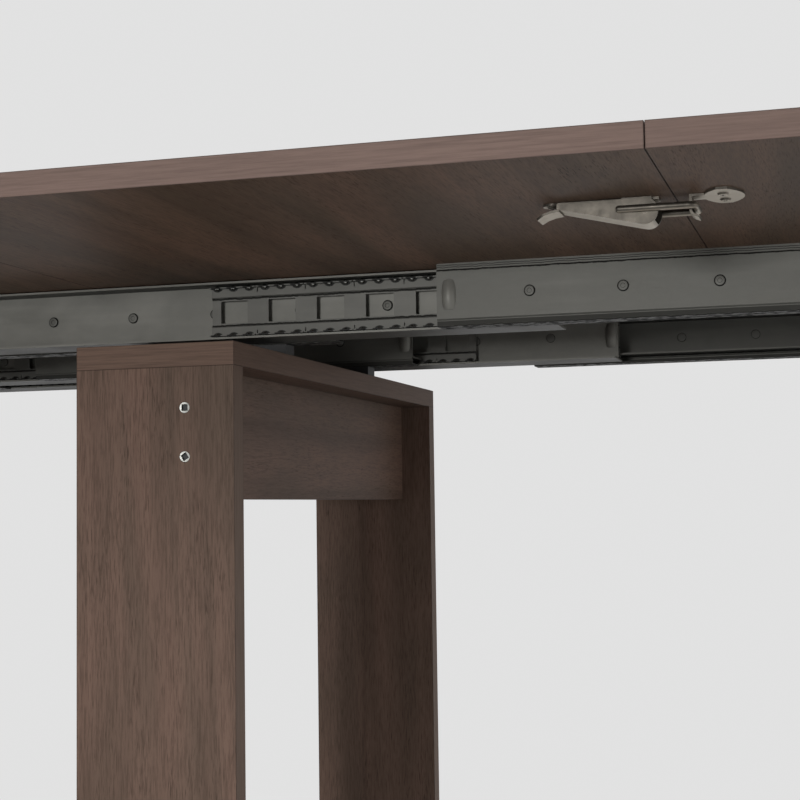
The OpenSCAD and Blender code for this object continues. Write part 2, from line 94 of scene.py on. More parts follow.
def linear(colour: Colour) -> tuple[float, float, float, float]:
    """Turns a display colour into the linear one that a shader socket holds.

    Args:
        colour: Red, green and blue from 0 to 1, as a screen shows them.

    Returns:
        The linear colour with an alpha of 1.
    """
    parts = [c / 12.92 if c <= 0.04045 else ((c + 0.055) / 1.055) ** 2.4 for c in colour]
    return (parts[0], parts[1], parts[2], 1.0)


def scaled(colour: Colour, share: float) -> Colour:
    """A colour that is made lighter or darker by a share."""
    return tuple(share * c for c in colour)


class Nodes:
    """Short calls that add nodes to a tree and link them."""

    def __init__(self, tree: bpy.types.NodeTree) -> None:
        """Empties the tree.

        Args:
            tree: The tree of a material or a world.
        """
        self.tree = tree
        self.tree.nodes.clear()

    def node(self, kind: str, **values: object) -> bpy.types.Node:
        """Adds a node and sets its properties.

        Args:
            kind: The node's type.
            **values: Properties of the node.

        Returns:
            The node.
        """
        made = self.tree.nodes.new(kind)
        for name, value in values.items():
            setattr(made, name, value)
        return made

    def join(self, source: Socket, target: Socket) -> None:
        """Links one socket to another."""
        self.tree.links.new(source, target)

    def feed(self, made: bpy.types.Node, inputs: dict) -> bpy.types.Node:
        """Gives a node's inputs their values or links.

        Args:
            made: The node.
            inputs: Socket name or number to a value or an output socket.

        Returns:
            The node.
        """
        for key, value in inputs.items():
            if isinstance(value, Socket):
                self.join(value, made.inputs[key])
            else:
                made.inputs[key].default_value = value
        return made

    def maths(self, work: str, *terms: object) -> Socket:
        """One arithmetic step.

        Args:
            work: The operation's name.
            *terms: Numbers or sockets.

        Returns:
            The value socket.
        """
        made = self.node("ShaderNodeMath", operation=work)
        self.feed(made, dict(enumerate(terms)))
        return made.outputs[0]

    def pale_rays(self) -> Socket:
        """Finds the rays that see the pale background: the camera's, metal's and glass's.

        Returns:
            The value socket: 1 for those rays and 0 for the others.
        """
        path = self.node("ShaderNodeLightPath").outputs
        seen = self.maths("MAXIMUM", path["Is Camera Ray"], path["Is Glossy Ray"])
        return self.maths("MAXIMUM", seen, path["Is Transmission Ray"])


class Shader(Nodes):
    """A material with one Principled shader, and calls for the patterns that feed it."""

    def __init__(self, name: str) -> None:
        """Makes an empty material.

        Args:
            name: The material's name.
        """
        self.material = bpy.data.materials.new(name)
        self.material.use_nodes = True
        super().__init__(self.material.node_tree)
        self.out = self.node("ShaderNodeOutputMaterial")
        self.bsdf = self.node("ShaderNodeBsdfPrincipled")
        self.join(self.bsdf.outputs[0], self.out.inputs["Surface"])
        self.place = self.node("ShaderNodeTexCoord").outputs["Object"]

    def mapped(self, scale: Point, shift: Point = (0, 0, 0)) -> Socket:
        """Object coordinates, moved and scaled.

        Args:
            scale: Scale along X, Y and Z.
            shift: Offset along X, Y and Z, added after scaling.

        Returns:
            The vector socket.
        """
        made = self.node("ShaderNodeMapping")
        self.feed(made, {"Vector": self.place, "Location": shift, "Scale": scale})
        return made.outputs[0]

    def facing(self, axis: Axis) -> Socket:
        """How squarely a face looks along an axis, either way.

        Args:
            axis: The axis.

        Returns:
            The value socket: 1 where the face looks along the axis and 0 where it doesn't.
        """
        return self.span(self.maths("ABSOLUTE", self.facing_signed(axis)), 0.6, 0.8)

    def facing_signed(self, axis: Axis) -> Socket:
        """How far a face looks along an axis: from 1 along it to -1 against it.

        Args:
            axis: The axis.

        Returns:
            The value socket.
        """
        normal = self.node("ShaderNodeTexCoord").outputs["Normal"]
        made = self.node("ShaderNodeVectorMath", operation="DOT_PRODUCT")
        self.feed(made, {0: normal, 1: axis.value})
        return made.outputs["Value"]

    def underside(self, inside: float, outside: float) -> Socket:
        """One value on the faces that look down, and another on the rest.

        Args:
            inside: The value on the faces that look down.
            outside: The value elsewhere.

        Returns:
            The value socket.
        """
        return self.span(self.facing_signed(Axis.Z), -0.9, -0.6, inside, outside)

    def along(self, axis: Axis) -> Socket:
        """Distance along an axis, in metres.

        Args:
            axis: The axis.

        Returns:
            The value socket.
        """
        made = self.node("ShaderNodeSeparateXYZ")
        self.join(self.place, made.inputs[0])
        return made.outputs[axis.name]

    def noise(self, scale: Point, detail: float, rough: float, twist: float = 0.0,
              shift: Point = (0, 0, 0)) -> Socket:
        """Noise from 0 to 1 on object coordinates.

        Args:
            scale: Scale along X, Y and Z.
            detail: Number of octaves.
            rough: Share of the fine octaves.
            twist: Distortion.
            shift: Offset along X, Y and Z, added after scaling.

        Returns:
            The value socket.
        """
        made = self.node("ShaderNodeTexNoise")
        self.feed(made, {"Vector": self.mapped(scale, shift), "Scale": 1.0,
                         "Detail": detail, "Roughness": rough, "Distortion": twist})
        return made.outputs["Fac"]

    def span(self, value: Socket, low: float, high: float,
             start: float = 0.0, end: float = 1.0) -> Socket:
        """Maps a value from one range to another, without overshoot.

        Args:
            value: The value to map.
            low: Where the first range starts.
            high: Where the first range ends.
            start: The result at low.
            end: The result at high.

        Returns:
            The value socket.
        """
        made = self.node("ShaderNodeMapRange")
        self.feed(made, {"Value": value, "From Min": low, "From Max": high,
                         "To Min": start, "To Max": end})
        return made.outputs[0]

    def blend(self, share: object, first: object, second: object) -> Socket:
        """Mixes two colours.

        Args:
            share: How much of the second shows, a number or a socket.
            first: The first colour, a display colour or a socket.
            second: The second colour, a display colour or a socket.

        Returns:
            The colour socket.
        """
        made = self.node("ShaderNodeMix", data_type="RGBA")
        ready = [c if isinstance(c, Socket) else linear(c) for c in (first, second)]
        self.feed(made, {0: share, 6: ready[0], 7: ready[1]})
        return made.outputs[2]

    def bump(self, height: Socket, depth: float) -> None:
        """Gives the surface a fine relief.

        Args:
            height: Height from 0 to 1.
            depth: Depth of the relief in metres.
        """
        made = self.node("ShaderNodeBump")
        self.feed(made, {"Height": height, "Distance": depth, "Strength": 1.0})
        self.join(made.outputs[0], self.bsdf.inputs["Normal"])


@dataclass(frozen=True)
class Layer:
    """Noise that is drawn out along the grain of a board.

    Attributes:
        along: Scale along the grain.
        across: Scale across it.
        detail: Number of octaves.
        rough: Share of the fine octaves.
        twist: Distortion.
    """

    along: float
    across: float
    detail: float
    rough: float
    twist: float = 0.0


@dataclass(frozen=True)
class WoodFinish:
    """Walnut-effect laminate with its grain along one axis, and banded edges.

    The broad faces carry a soft figure of red-brown and grey-brown, fine fibres and short
    dark pores. The narrow faces carry an edge band whose lines run along it.

    Attributes:
        grain: The way the grain runs.
        face: The way the broad faces look.
        band: The way the lines of the edge band run.
        low: Lowest corner of the board.
        high: Highest corner of the board.
        shift: Offset of the pattern, so that no two boards of the top are alike.
        line_w: Width of the dark line where the veneer meets the band, partly that joint and
        partly painted shade along the board's edges.
    """

    name: str
    grain: Axis
    face: Axis
    band: Axis
    band_colour: Colour
    low: Vector
    high: Vector
    shift: Point
    warm: Colour = (0.500, 0.405, 0.357)
    grey: Colour = (0.405, 0.343, 0.300)
    dark: Colour = (0.262, 0.212, 0.182)
    figure: Layer = Layer(2.2, 15.0, 3.0, 0.5, 0.7)
    streaks: Layer = Layer(1.3, 46.0, 3.0, 0.55, 0.5)
    fibre: Layer = Layer(58.0, 820.0, 3.0, 0.62)
    pores: Layer = Layer(95.0, 1500.0, 2.0, 0.5)
    patches: Layer = Layer(9.0, 60.0, 2.0, 0.5)
    band_along: float = 26.0
    band_across: float = 760.0
    band_cloud: Point = (7.0, 7.0, 30.0)
    line_w: float = 0.0005
    line_share: float = 0.6
    joint_and_shade_colour: Colour = (0.105, 0.080, 0.068)
    rough: float = 0.5
    specular: float = 0.07
    relief_h: float = 0.00005

    def drawn(self, s: Shader, layer: Layer) -> Socket:
        """Draws one layer along the grain.

        Args:
            s: The shader to draw in.
            layer: The layer.

        Returns:
            The value socket.
        """
        scale = tuple(layer.along if part else layer.across for part in self.grain.value)
        return s.noise(scale, layer.detail, layer.rough, layer.twist, self.shift)

    def veneer(self, s: Shader) -> tuple[Socket, Socket]:
        """Colour and relief of a broad face.

        Args:
            s: The shader to draw in.

        Returns:
            The colour socket and the height socket.
        """
        streaks, fibre = self.drawn(s, self.streaks), self.drawn(s, self.fibre)
        base = s.blend(s.span(self.drawn(s, self.figure), 0.36, 0.64), self.grey, self.warm)
        base = s.blend(s.span(streaks, 0.48, 0.72, 0.0, 0.38), base, self.dark)
        base = s.blend(s.span(streaks, 0.30, 0.46, 0.22, 0.0), base, scaled(self.warm, 1.12))
        base = s.blend(s.span(fibre, 0.44, 0.68, 0.0, 0.46), base, self.dark)
        pore = s.maths("MULTIPLY", s.span(self.drawn(s, self.pores), 0.56, 0.70, 0.0, 0.62),
                       s.span(self.drawn(s, self.patches), 0.42, 0.66, 0.25, 1.0))
        base = s.blend(pore, base, scaled(self.dark, 0.66))
        return base, s.maths("SUBTRACT", s.maths("MULTIPLY", fibre, 0.5), pore)

    def banding(self, s: Shader) -> Socket:
        """Colour of the edge band.

        Args:
            s: The shader to draw in.

        Returns:
            The colour socket.
        """
        along, across = self.band_along, self.band_across
        scale = (across, across, along) if self.band is Axis.Z else (along, along, across)
        lines = s.noise(scale, 4.0, 0.68, shift=self.shift)
        cloud = s.noise(self.band_cloud, 3.0, 0.5, shift=self.shift)
        base = s.blend(s.span(lines, 0.40, 0.68, 0.0, 0.55), self.band_colour,
                       scaled(self.band_colour, 0.72))
        return s.blend(s.span(cloud, 0.35, 0.68, 0.0, 0.3), base,
                       scaled(self.band_colour, 0.84))

    def corners(self, s: Shader) -> Socket:
        """Mask of the thin dark lines where the veneer meets the edge band: partly that joint,
        partly painted shade along the board's edges.

        Args:
            s: The shader to draw in.

        Returns:
            The value socket.
        """
        mask = s.maths("MULTIPLY", s.along(Axis.X), 0.0)
        for axis, low, high in zip(Axis, self.low, self.high):
            reach = s.maths("ABSOLUTE", s.maths("SUBTRACT", s.along(axis), (low + high) / 2))
            half = (high - low) / 2
            rim = s.span(reach, half - self.line_w, half - 0.4 * self.line_w)
            beside = s.maths("SUBTRACT", 1.0, s.facing(axis))
            mask = s.maths("MAXIMUM", mask, s.maths("MULTIPLY", rim, beside))
        return mask

    def material(self) -> Material:
        """Builds the material.

        Returns:
            The material.
        """
        s = Shader(self.name)
        base, relief = self.veneer(s)
        base = s.blend(s.facing(self.face), self.banding(s), base)
        # Thin dark lines along the board's edges: partly the joint, partly painted shade.
        base = s.blend(s.maths("MULTIPLY", self.corners(s), self.line_share), base,
                       self.joint_and_shade_colour)
        rough = s.span(relief, -0.4, 0.5, self.rough + 0.08, self.rough - 0.04)
        s.feed(s.bsdf, {"Base Color": base, "Roughness": rough,
                        "Specular IOR Level": self.specular})
        s.bump(relief, self.relief_h)
        return s.material


@dataclass(frozen=True)
class SteelFinish:
    """Dark passivated steel with a soft mottle.

    A channel or a cage also has painted shade along its creases, and a cage has painted
    shade in the hollows round its balls. Their heights are over the slide's middle line.

    Attributes:
        deep: The darker colour of the mottle.
        middle: Height of the slide's middle line over the floor.
        creases: Height and half width of each crease where shade is painted.
        shadow: Depth under the middle line, and half width, of the dark band over a lip.
        hollows: Place of the first hollow of painted shade along X, pitch, and distance of a
        row from the middle line.
        hollow_half: Half the length and half the height of a hollow.
        painted_underside_light: Brightness of the faces that look down, a painted shade.
    """

    name: str
    colour: Colour = (0.430, 0.427, 0.408)
    deep: Colour = (0.372, 0.370, 0.352)
    rough: float = 0.46
    middle: float = 0.0
    creases: tuple[tuple[float, float], ...] = ()
    shadow: tuple[float, float] | None = None
    hollows: tuple[float, float, float] | None = None
    hollow_half: tuple[float, float] = (0.0044, 0.0030)
    crease_shade_colour: Colour = (0.075, 0.075, 0.07)
    hollow_shade_colour: Colour = (0.06, 0.06, 0.057)
    painted_underside_light: float = 0.40
    metal: float = 0.2
    specular: float = 0.12
    relief_h: float = 0.00002

    def crease_shade(self, s: Shader) -> Socket:
        """Mask of the painted shade along the creases of a channel or a cage, which wanders a
        little.

        Args:
            s: The shader to draw in.

        Returns:
            The value socket.
        """
        wobble = s.noise((160.0, 160.0, 60.0), 3.0, 0.6)
        height = s.maths("SUBTRACT", s.along(Axis.Z), self.middle)
        height = s.maths("ADD", height, s.span(wobble, 0.3, 0.7, -0.0004, 0.0004))
        mask = s.maths("MULTIPLY", height, 0.0)
        for place, half in self.creases:
            off = s.maths("ABSOLUTE", s.maths("SUBTRACT", height, place))
            mask = s.maths("MAXIMUM", mask, s.span(off, 0.5 * half, half, 1.0, 0.0))
        if self.shadow:
            depth, half = self.shadow
            off = s.maths("ABSOLUTE", s.maths("SUBTRACT", self.middle - depth, s.along(Axis.Z)))
            mask = s.maths("MAXIMUM", mask, s.span(off, 0.8 * half, half, 0.75, 0.0))
        return mask

    def pocket_shade(self, s: Shader) -> Socket:
        """Mask of the painted shade in the hollows that hold a cage's balls.

        Args:
            s: The shader to draw in.

        Returns:
            The value socket.
        """
        start, pitch, height = self.hollows
        half_x, half_z = self.hollow_half
        turns = s.maths("DIVIDE", s.maths("SUBTRACT", s.along(Axis.X), start), pitch)
        off = s.maths("SUBTRACT", s.maths("FRACT", s.maths("ADD", turns, 0.5)), 0.5)
        across = s.maths("POWER", s.maths("MULTIPLY", off, pitch / half_x), 2.0)
        rise = s.maths("ABSOLUTE", s.maths("SUBTRACT", s.along(Axis.Z), self.middle))
        up = s.maths("DIVIDE", s.maths("SUBTRACT", rise, height), half_z)
        ring = s.maths("ADD", across, s.maths("POWER", up, 2.0))
        return s.span(ring, 0.75, 1.05, 1.0, 0.0)

    def material(self) -> Material:
        """Builds the material.

        Returns:
            The material.
        """
        s = Shader(self.name)
        cloud = s.noise((22.0, 22.0, 30.0), 5.0, 0.55, 0.3)
        smear = s.noise((9.0, 60.0, 90.0), 3.0, 0.5)
        speck = s.noise((900.0, 900.0, 900.0), 2.0, 0.5)
        base = s.blend(s.span(cloud, 0.30, 0.70), self.deep, self.colour)
        base = s.blend(s.span(smear, 0.52, 0.78, 0.0, 0.22), base, scaled(self.colour, 1.16))
        wear = s.maths("ADD", s.maths("MULTIPLY", cloud, 0.7), s.maths("MULTIPLY", speck, 0.3))
        rough = s.span(wear, 0.3, 0.7, self.rough - 0.06, self.rough + 0.10)
        relief = s.maths("ADD", s.maths("MULTIPLY", cloud, 0.5), s.maths("MULTIPLY", speck, 0.5))
        # Painted shade: the creases, and the band over a lip, are darkened.
        if self.creases:
            mask = self.crease_shade(s)
            base = s.blend(s.maths("MULTIPLY", mask, 0.86), base, self.crease_shade_colour)
            rough = s.maths("ADD", rough, s.maths("MULTIPLY", mask, 0.3))
            relief = s.maths("SUBTRACT", relief, s.maths("MULTIPLY", mask, 4.0))
        # Painted shade in the hollows round the balls.
        if self.hollows:
            base = s.blend(s.maths("MULTIPLY", self.pocket_shade(s), 0.9), base, self.hollow_shade_colour)
        # Painted shade: the faces that look down are darkened.
        base = s.blend(s.underside(self.painted_underside_light, 1.0), (0.0, 0.0, 0.0), base)
        s.feed(s.bsdf, {"Base Color": base, "Metallic": s.underside(0.0, self.metal),
                        "Roughness": rough, "Specular IOR Level": self.specular})
        s.bump(relief, self.relief_h)
        return s.material


@dataclass(frozen=True)
class PlatedFinish:
    """Plated metal: nickel on the latches, zinc on the screws, bare steel on the balls.

    Attributes:
        mottle: Strength of the mottle.
        sides: Brightness of the walls that look along Y: under 1 it is painted shade.
        painted_underside_light: Brightness of the faces that look down: over 1 it is painted
            light.
    """

    name: str
    colour: Colour
    rough: float
    mottle: float = 0.12
    metal: float = 1.0
    sides: float = 1.0
    painted_underside_light: float = 1.0
    relief_h: float = 0.00001

    def material(self) -> Material:
        """Builds the material.

        Returns:
            The material.
        """
        s = Shader(self.name)
        cloud = s.noise((120.0, 120.0, 120.0), 5.0, 0.6, 0.3)
        scratch = s.noise((60.0, 700.0, 700.0), 2.0, 0.5)
        dull = scaled(self.colour, 1.0 - 2.5 * self.mottle)
        base = s.blend(s.span(cloud, 0.35, 0.7), dull, self.colour)
        # Painted shade and painted light: the walls that look along Y, and the faces that look
        # down, get their own brightness.
        wall = s.blend(0.5, base, scaled(self.colour, self.sides))
        base = s.blend(s.facing(Axis.Y), base, wall)
        base = s.blend(s.underside(1.0, 0.0), base, scaled(self.colour, self.painted_underside_light))
        rough = s.span(cloud, 0.3, 0.7, self.rough + 0.08, self.rough - 0.04)
        s.feed(s.bsdf, {"Base Color": base, "Metallic": self.metal, "Roughness": rough})
        s.bump(s.maths("ADD", s.maths("MULTIPLY", scratch, 0.5), cloud), self.relief_h)
        return s.material


@dataclass(frozen=True)
class PlasticFinish:
    """Hard black plastic with a fine moulded grain."""

    name: str
    colour: Colour = (0.11, 0.11, 0.11)
    relief_h: float = 0.00002

    def material(self) -> Material:
        """Builds the material.

        Returns:
            The material.
        """
        s = Shader(self.name)
        grain = s.noise((800.0, 800.0, 800.0), 3.0, 0.5)
        base = s.blend(s.span(grain, 0.4, 0.7, 0.0, 0.5), self.colour, scaled(self.colour, 1.35))
        s.feed(s.bsdf, {"Base Color": base, "Roughness": s.span(grain, 0.3, 0.7, 0.5, 0.62)})
        s.bump(grain, self.relief_h)
        return s.material


def dress(names: list[str], material: Material) -> None:
    """Gives CAD nodes a material.

    Args:
        names: The nodes' names.
        material: The material.
    """
    for name in names:
        node = frame["nodes"][name]
        node.data.materials.clear()
        node.data.materials.append(material)


@dataclass(frozen=True)
class Solid:
    """Box of one separate solid inside a CAD node, in metres."""

    low: Vector
    high: Vector

    @property
    def centre(self) -> Vector:
        """Middle of the box."""
        return (self.low + self.high) / 2

    @property
    def size(self) -> Vector:
        """Sides of the box."""
        return self.high - self.low


def solids(name: str) -> list[Solid]:
    """Finds the separate solids of a CAD node, by the corners that its faces share.

    Args:
        name: The node's name.

    Returns:
        One box for each solid.
    """
    mesh = frame["nodes"][name].data
    spots = [tuple(round(c, CORNER_DIGITS) for c in vertex.co) for vertex in mesh.vertices]
    parent = {spot: spot for spot in spots}

    def root(spot: Point) -> Point:
        """Finds the corner that stands for all that are joined to this one.

        Args:
            spot: The corner.

        Returns:
            The corner that stands for it.
        """
        while parent[spot] != spot:
            parent[spot] = parent[parent[spot]]
            spot = parent[spot]
        return spot

    for face in mesh.polygons:
        for corner in face.vertices[1:]:
            parent[root(spots[corner])] = root(spots[face.vertices[0]])
    groups: dict[Point, list[Point]] = {}
    for spot in parent:
        groups.setdefault(root(spot), []).append(spot)
    return [Solid(Vector(map(min, zip(*group))), Vector(map(max, zip(*group))))
            for group in groups.values()]


def face_outwards() -> None:
    """Turns all faces of the piece in edit mode outwards, and leaves edit mode."""
    bpy.ops.mesh.select_all(action="SELECT")
    bpy.ops.mesh.normals_make_consistent(inside=False)
    bpy.ops.object.mode_set(mode="OBJECT")


def activate(piece: Piece) -> None:
    """Selects one piece alone, and makes it the active one.

    Args:
        piece: The piece.
    """
    bpy.ops.object.select_all(action="DESELECT")
    piece.select_set(True)
    bpy.context.view_layer.objects.active = piece


def turned(name: str, profile: list[tuple[float, float]], sides: int) -> Piece:
    """Turns a piece on the Z axis by extruding and scaling a disc through a profile.

    Args:
        name: The piece's name.
        profile: Radius and height of each step, in metres.
        sides: Number of sides.

    Returns:
        The piece.
    """
    bpy.ops.object.select_all(action="DESELECT")
    bpy.ops.mesh.primitive_circle_add(vertices=sides, radius=profile[0][0], fill_type="NGON",
                                      location=(0.0, 0.0, profile[0][1]))
    piece = bpy.context.active_object
    piece.name = name
    bpy.ops.object.transform_apply(location=True, rotation=True, scale=True)
    bpy.ops.object.mode_set(mode="EDIT")
    bpy.ops.mesh.select_all(action="SELECT")
    for (before, low), (after, high) in zip(profile, profile[1:]):
        bpy.ops.mesh.extrude_region_move(TRANSFORM_OT_translate={"value": (0.0, 0.0, high - low)})
        bpy.ops.transform.resize(value=(after / before, after / before, 1.0))
    face_outwards()
    return piece


@dataclass(frozen=True)
class Cross:
    """A screw's cross recess: half the length of an arm, its width, and its depth."""

    half: float
    width: float
    depth: float


def cross_cutter(cross: Cross) -> Piece:
    """Makes the tapered cross that cuts a screw's recess out of a head with its top at z = 0.

    Args:
        cross: Size of the recess.

    Returns:
        The cutter.
    """
    lift, taper, squarely = 0.0005, 0.45, 0.9
    width, depth, arm = cross.width, cross.depth, cross.half - cross.width / 2
    bpy.ops.object.select_all(action="DESELECT")
    bpy.ops.mesh.primitive_cube_add(size=1.0, location=(0.0, 0.0, -depth / 2 + lift))
    cutter = bpy.context.active_object
    cutter.scale = (width, width, depth + 2 * lift)
    bpy.ops.object.transform_apply(location=True, rotation=True, scale=True)
    bpy.ops.object.mode_set(mode="EDIT")
    bpy.ops.mesh.select_mode(type="FACE")
    for x, y in ((1, 0), (-1, 0), (0, 1), (0, -1)):
        pick_faces(cutter, lambda face, x=x, y=y: face.center.length < width
                   and face.normal.x * x + face.normal.y * y > squarely)
        bpy.ops.mesh.extrude_region_move(TRANSFORM_OT_translate={"value": (x * arm, y * arm, 0.0)})
        pick_vertices(cutter, lambda at, x=x, y=y: at.z < -depth / 2
                      and at.x * x + at.y * y > arm)
        bpy.ops.transform.translate(value=(-taper * arm * x, -taper * arm * y, 0.0))
    face_outwards()
    return cutter


def pick_faces(piece: Piece, test: Callable[[Face], bool]) -> None:
    """Selects the faces of the piece in edit mode that pass a test.

    Args:
        piece: The piece, in edit mode.
        test: Tells whether a face is wanted.
    """
    bpy.ops.mesh.select_mode(type="FACE")
    bpy.ops.mesh.select_all(action="DESELECT")
    bpy.ops.object.mode_set(mode="OBJECT")
    for face in piece.data.polygons:
        face.select = test(face)
    bpy.ops.object.mode_set(mode="EDIT")


def pick_vertices(piece: Piece, test: Callable[[Vector], bool]) -> None:
    """Selects the vertices of the piece in edit mode that pass a test.

    Args:
        piece: The piece, in edit mode.
        test: Tells whether a vertex at that place is wanted.
    """
    bpy.ops.mesh.select_mode(type="VERT")
    bpy.ops.mesh.select_all(action="DESELECT")
    bpy.ops.object.mode_set(mode="OBJECT")
    for vertex in piece.data.vertices:
        vertex.select = test(vertex.co)
    bpy.ops.object.mode_set(mode="EDIT")


def cut_away(piece: Piece, cutter: Piece) -> None:
    """Cuts one piece with another, which is then deleted.

    Args:
        piece: The piece that stays.
        cutter: The piece that cuts.
    """
    cut = piece.modifiers.new("recess", "BOOLEAN")
    cut.operation, cut.solver, cut.object = "DIFFERENCE", "EXACT", cutter
    activate(piece)
    bpy.ops.object.modifier_apply(modifier=cut.name)
    bpy.data.objects.remove(cutter, do_unlink=True)


def paint(piece: Piece, materials: list[Material], test: Callable[[Face], bool]) -> None:
    """Gives a piece its main material, and a second one on some of its faces.

    Args:
        piece: The piece, which has no material yet.
        materials: The main material and the second one.
        test: Tells whether a face takes the second one.
    """
    for material in materials:
        piece.data.materials.append(material)
    for face in piece.data.polygons:
        face.material_index = 1 if test(face) else 0


def set_out(master: Piece, name: str, places: list[Matrix]) -> Piece:
    """Copies a piece to its places and joins the copies.

    Args:
        master: The piece, made at the origin.
        name: Name of the joined piece.
        places: Where each copy goes.

    Returns:
        The joined piece, at the origin.
    """
    bpy.ops.object.select_all(action="DESELECT")
    copies = []
    for place in places:
        copy = master.copy()
        copy.data = master.data.copy()
        copy.data.transform(place)
        bpy.context.scene.collection.objects.link(copy)
        copy.select_set(True)
        copies.append(copy)
    bpy.context.view_layer.objects.active = copies[0]
    bpy.ops.object.join()
    copies[0].name = copies[0].data.name = name
    bpy.ops.object.shade_smooth_by_angle(angle=SMOOTH_BELOW)
    return copies[0]


def pointing(spot: Vector, way: Vector, turn: float = 0.0) -> Matrix:
    """Places a piece made along +Z so that it points another way.

    Args:
        spot: Where the piece's origin goes.
        way: The direction that its +Z takes.
        turn: Turn about its own axis, in radians.

    Returns:
        The placing matrix.
    """
    spin = way.to_track_quat("Z", "Y").to_matrix().to_4x4()
    return Matrix.Translation(spot) @ spin @ Matrix.Rotation(turn, 4, "Z")


def stand_in(piece: Piece, node: str) -> None:
    """Puts a finished piece in the place of a CAD node.

    Args:
        piece: The piece.
        node: The node that it replaces.
    """
    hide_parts(node)
    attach(piece, frame["nodes"][node]["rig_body"])


def fit_copies(master: Piece, node: str, kind: str, places: list[Matrix]) -> None:
    """Puts copies of one finished piece in the place of a CAD node.

    Args:
        master: The piece, made at the origin. It is used up.
        node: The node that the copies replace.
        kind: What the node's name gets at its end.
        places: Where each copy goes.
    """
    piece = set_out(master, f"{node}_{kind}", places)
    bpy.data.objects.remove(master, do_unlink=True)
    stand_in(piece, node)
    log.info("%s: %d, %s", node, len(places), kind)


@dataclass
class Boards:
    """The walnut-effect boards: the top's five panels and the two leg frames.

    Attributes:
        top_shifts: Offset of the pattern on each board of the top.
        edge: Colour of the top's edge band.
        top_warm: The top's red-brown. Its wood is a little warmer than the legs'.
        top_grey: The top's grey-brown.
        top_dark: The top's dark.
    """

    top_shifts: dict[str, Point] = field(default_factory=lambda: {
        "centre_panel": (3.1, 0.0, 0.2), "right_leaf_panel": (1.7, 4.2, 0.0),
        "right_end_panel": (0.4, 2.6, 0.3), "left_leaf_panel": (5.3, 1.1, 0.6),
        "left_end_panel": (2.2, 3.9, 0.9),
    })
    leg_shifts: tuple[Point, Point] = ((0.9, 0.21, 0.0), (1.27, 0.21, 1.3))
    plate_shift: Point = (2.0, 0.7, 0.5)
    rail_shift: Point = (0.6, 2.7, 1.5)
    edge: Colour = (0.505, 0.427, 0.395)
    leg_edge: Colour = (0.482, 0.405, 0.356)
    plate_edge: Colour = (0.462, 0.379, 0.332)
    top_warm: Colour = (0.500, 0.398, 0.334)
    top_grey: Colour = (0.403, 0.335, 0.280)
    top_dark: Colour = (0.262, 0.207, 0.170)

    def board(self, name: str, grain: Axis, face: Axis, band: Axis, edge: Colour,
              shift: Point) -> None:
        """Gives one board its own piece of grain.

        Args:
            name: The board's node.
            grain: The way its grain runs.
            face: The way its broad faces look.
            band: The way the lines of its edge band run.
            edge: Colour of the edge band.
            shift: Offset of its pattern.
        """
        low, high = (Vector(corner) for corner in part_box(name))
        finish = WoodFinish(f"walnut_{name}", grain, face, band, edge, low, high, shift)
        if name in self.top_shifts:
            finish = replace(finish, warm=self.top_warm, grey=self.top_grey, dark=self.top_dark)
        dress([name], finish.material())

    def dress(self) -> None:
        """Gives every board its veneer and its edge band."""
        for name, shift in self.top_shifts.items():
            self.board(name, Axis.Y, Axis.Z, Axis.X, self.edge, shift)
        for side in SIDES:
            for part, shift in zip(ENDS, self.leg_shifts):
                self.board(f"{side}_{part}_leg", Axis.Z, Axis.Y, Axis.Z, self.leg_edge, shift)
            self.board(f"{side}_frame_plate", Axis.Y, Axis.Z, Axis.X, self.plate_edge,
                       self.plate_shift)
            self.board(f"{side}_frame_rail", Axis.Y, Axis.X, Axis.X, self.plate_edge,
                       self.rail_shift)
        log.info("boards: %d dressed", len(self.top_shifts) + 4 * len(SIDES))


